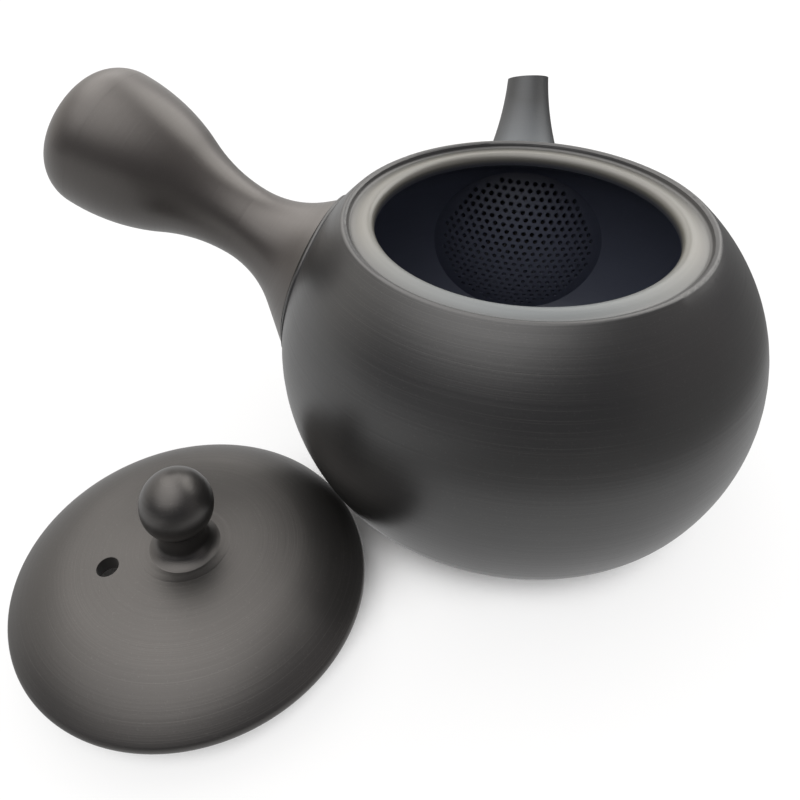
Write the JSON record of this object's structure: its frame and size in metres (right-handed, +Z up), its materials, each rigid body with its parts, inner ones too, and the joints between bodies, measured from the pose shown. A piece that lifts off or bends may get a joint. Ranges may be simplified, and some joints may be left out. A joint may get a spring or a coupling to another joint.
{
  "type": "side-handled teapot",
  "caption": "Squat round unglazed clay teapot with a side handle, short slanting spout, pierced inner strainer and a domed ball-knob lid set down beside it.",
  "frame": {"origin": "centre of the pot's flat foot, on the table", "axes": "+Z up along the pot's axis, +Y towards the spout, handle towards -X"},
  "size_m": [0.1632, 0.1657, 0.0862],
  "materials": {
    "pot_clay": "satin, unglazed, smoke-fired dark clay",
    "lid_clay": "satin, unglazed, smoke-fired dark clay"
  },
  "bodies": {
    "pot": {"body": "pot_clay", "spout": "pot_clay", "strainer": "pot_clay", "handle": "pot_clay"},
    "cover": {"lid": "lid_clay", "lid_knob": "lid_clay"}
  },
  "joints": [
    {"name": "lid_lift", "type": "slide", "parent": "pot", "child": "cover", "axis": [-0.4309, -0.3786, 0.8192], "range_m": [0, 0.12]}
  ]
}
